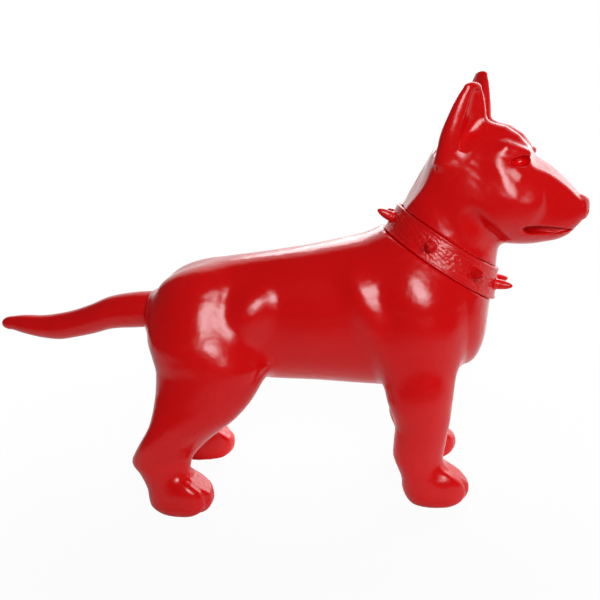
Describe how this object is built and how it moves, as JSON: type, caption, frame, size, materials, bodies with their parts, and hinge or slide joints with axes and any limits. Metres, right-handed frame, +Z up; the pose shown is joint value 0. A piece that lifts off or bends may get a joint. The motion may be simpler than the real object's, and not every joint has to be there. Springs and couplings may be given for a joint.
{
  "type": "dog statue",
  "caption": "Free-standing bull terrier statue in glossy red lacquer, head turned aside, with a straight tail and a spiked collar.",
  "frame": {"origin": "on the ground under the paws, in the middle of the whole length and width", "axes": "+X the way the dog faces, +Y its left side, +Z up"},
  "size_m": [0.9871, 0.283, 0.6836],
  "materials": {
    "lacquer": "high-gloss red lacquer on cast resin",
    "collar_lacquer": "the same red lacquer over a worked strap surface",
    "steel": "plain drawn bar"
  },
  "bodies": {
    "root": {"body_shell_right": "lacquer", "body_shell_left": "lacquer", "head_shell": "lacquer", "tail": "lacquer", "tail_rod": "steel", "collar": "collar_lacquer", "collar_spike_1": "collar_lacquer", "collar_spike_2": "collar_lacquer", "collar_spike_3": "collar_lacquer", "collar_spike_4": "collar_lacquer", "collar_spike_5": "collar_lacquer", "collar_spike_6": "collar_lacquer", "collar_spike_7": "collar_lacquer", "collar_spike_8": "collar_lacquer", "leg_rod_front_right": "steel", "leg_rod_front_left": "steel", "leg_rod_hind_right": "steel", "leg_rod_hind_left": "steel"}
  },
  "joints": []
}
